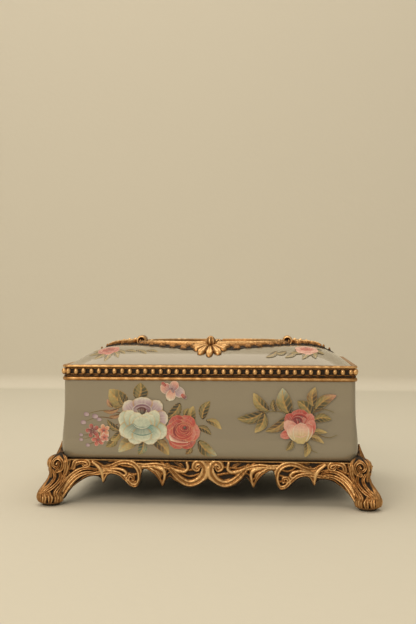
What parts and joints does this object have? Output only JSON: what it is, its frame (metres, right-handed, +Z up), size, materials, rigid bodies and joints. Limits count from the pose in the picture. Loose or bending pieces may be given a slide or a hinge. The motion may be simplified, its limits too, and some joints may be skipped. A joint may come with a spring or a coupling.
{
  "type": "porcelain trinket box",
  "caption": "Rectangular glazed trinket box with a domed hinged lid, beaded gilt band and cartouche, on a scrolled gilt stand with corner feet.",
  "frame": {"origin": "on the table under the middle of the box", "axes": "+X along the box to the right as seen from the front, the front faces -Y, the hinges are on the +Y side, +Z up"},
  "size_m": [0.25, 0.1714, 0.123],
  "materials": {
    "glaze": "hard-paste porcelain under a clear gloss glaze with hand-painted flowers",
    "gilding": "antique gilt casting with dark patina in its hollows",
    "velvet": "short-pile velvet",
    "felt": "pressed wool felt",
    "brass": "drawn brass, lightly tarnished"
  },
  "bodies": {
    "box": {"apron_front": "gilding", "apron_left": "gilding", "apron_rear": "gilding", "apron_right": "gilding", "body_rim": "gilding", "body_shell": "glaze", "felt_pad_front_left": "felt", "felt_pad_front_right": "felt", "felt_pad_rear_left": "felt", "felt_pad_rear_right": "felt", "floor_cushion": "velvet", "foot_front_left": "gilding", "foot_front_right": "gilding", "foot_rear_left": "gilding", "foot_rear_right": "gilding", "hinge_leaf_body_left": "brass", "hinge_leaf_body_right": "brass", "hinge_pin_left": "brass", "hinge_pin_right": "brass", "hinge_rivet_body_left_inner": "brass", "hinge_rivet_body_left_outer": "brass", "hinge_rivet_body_right_inner": "brass", "hinge_rivet_body_right_outer": "brass", "lining_front": "velvet", "lining_left": "velvet", "lining_rear": "velvet", "lining_right": "velvet", "stand_tray": "gilding"},
    "lid": {"bead_corner_front_left": "gilding", "bead_corner_front_right": "gilding", "bead_corner_rear_left": "gilding", "bead_corner_rear_right": "gilding", "bead_row_front": "gilding", "bead_row_left": "gilding", "bead_row_rear": "gilding", "bead_row_right": "gilding", "cartouche_acanthus_front": "gilding", "cartouche_acanthus_rear": "gilding", "cartouche_rail_front": "gilding", "cartouche_rail_rear": "gilding", "cartouche_scroll_left": "gilding", "cartouche_scroll_right": "gilding", "cartouche_spray_left": "gilding", "cartouche_spray_right": "gilding", "hinge_leaf_lid_left": "brass", "hinge_leaf_lid_right": "brass", "hinge_rivet_lid_left_inner": "brass", "hinge_rivet_lid_left_outer": "brass", "hinge_rivet_lid_right_inner": "brass", "hinge_rivet_lid_right_outer": "brass", "lid_band": "gilding", "lid_lining": "velvet", "lid_shell": "glaze"}
  },
  "joints": [
    {"name": "lid_hinge", "type": "hinge", "parent": "box", "child": "lid", "pos_m": [0, 0.071, 0.09275], "axis": [-1, 0, 0], "range_deg": [0, 100]}
  ]
}
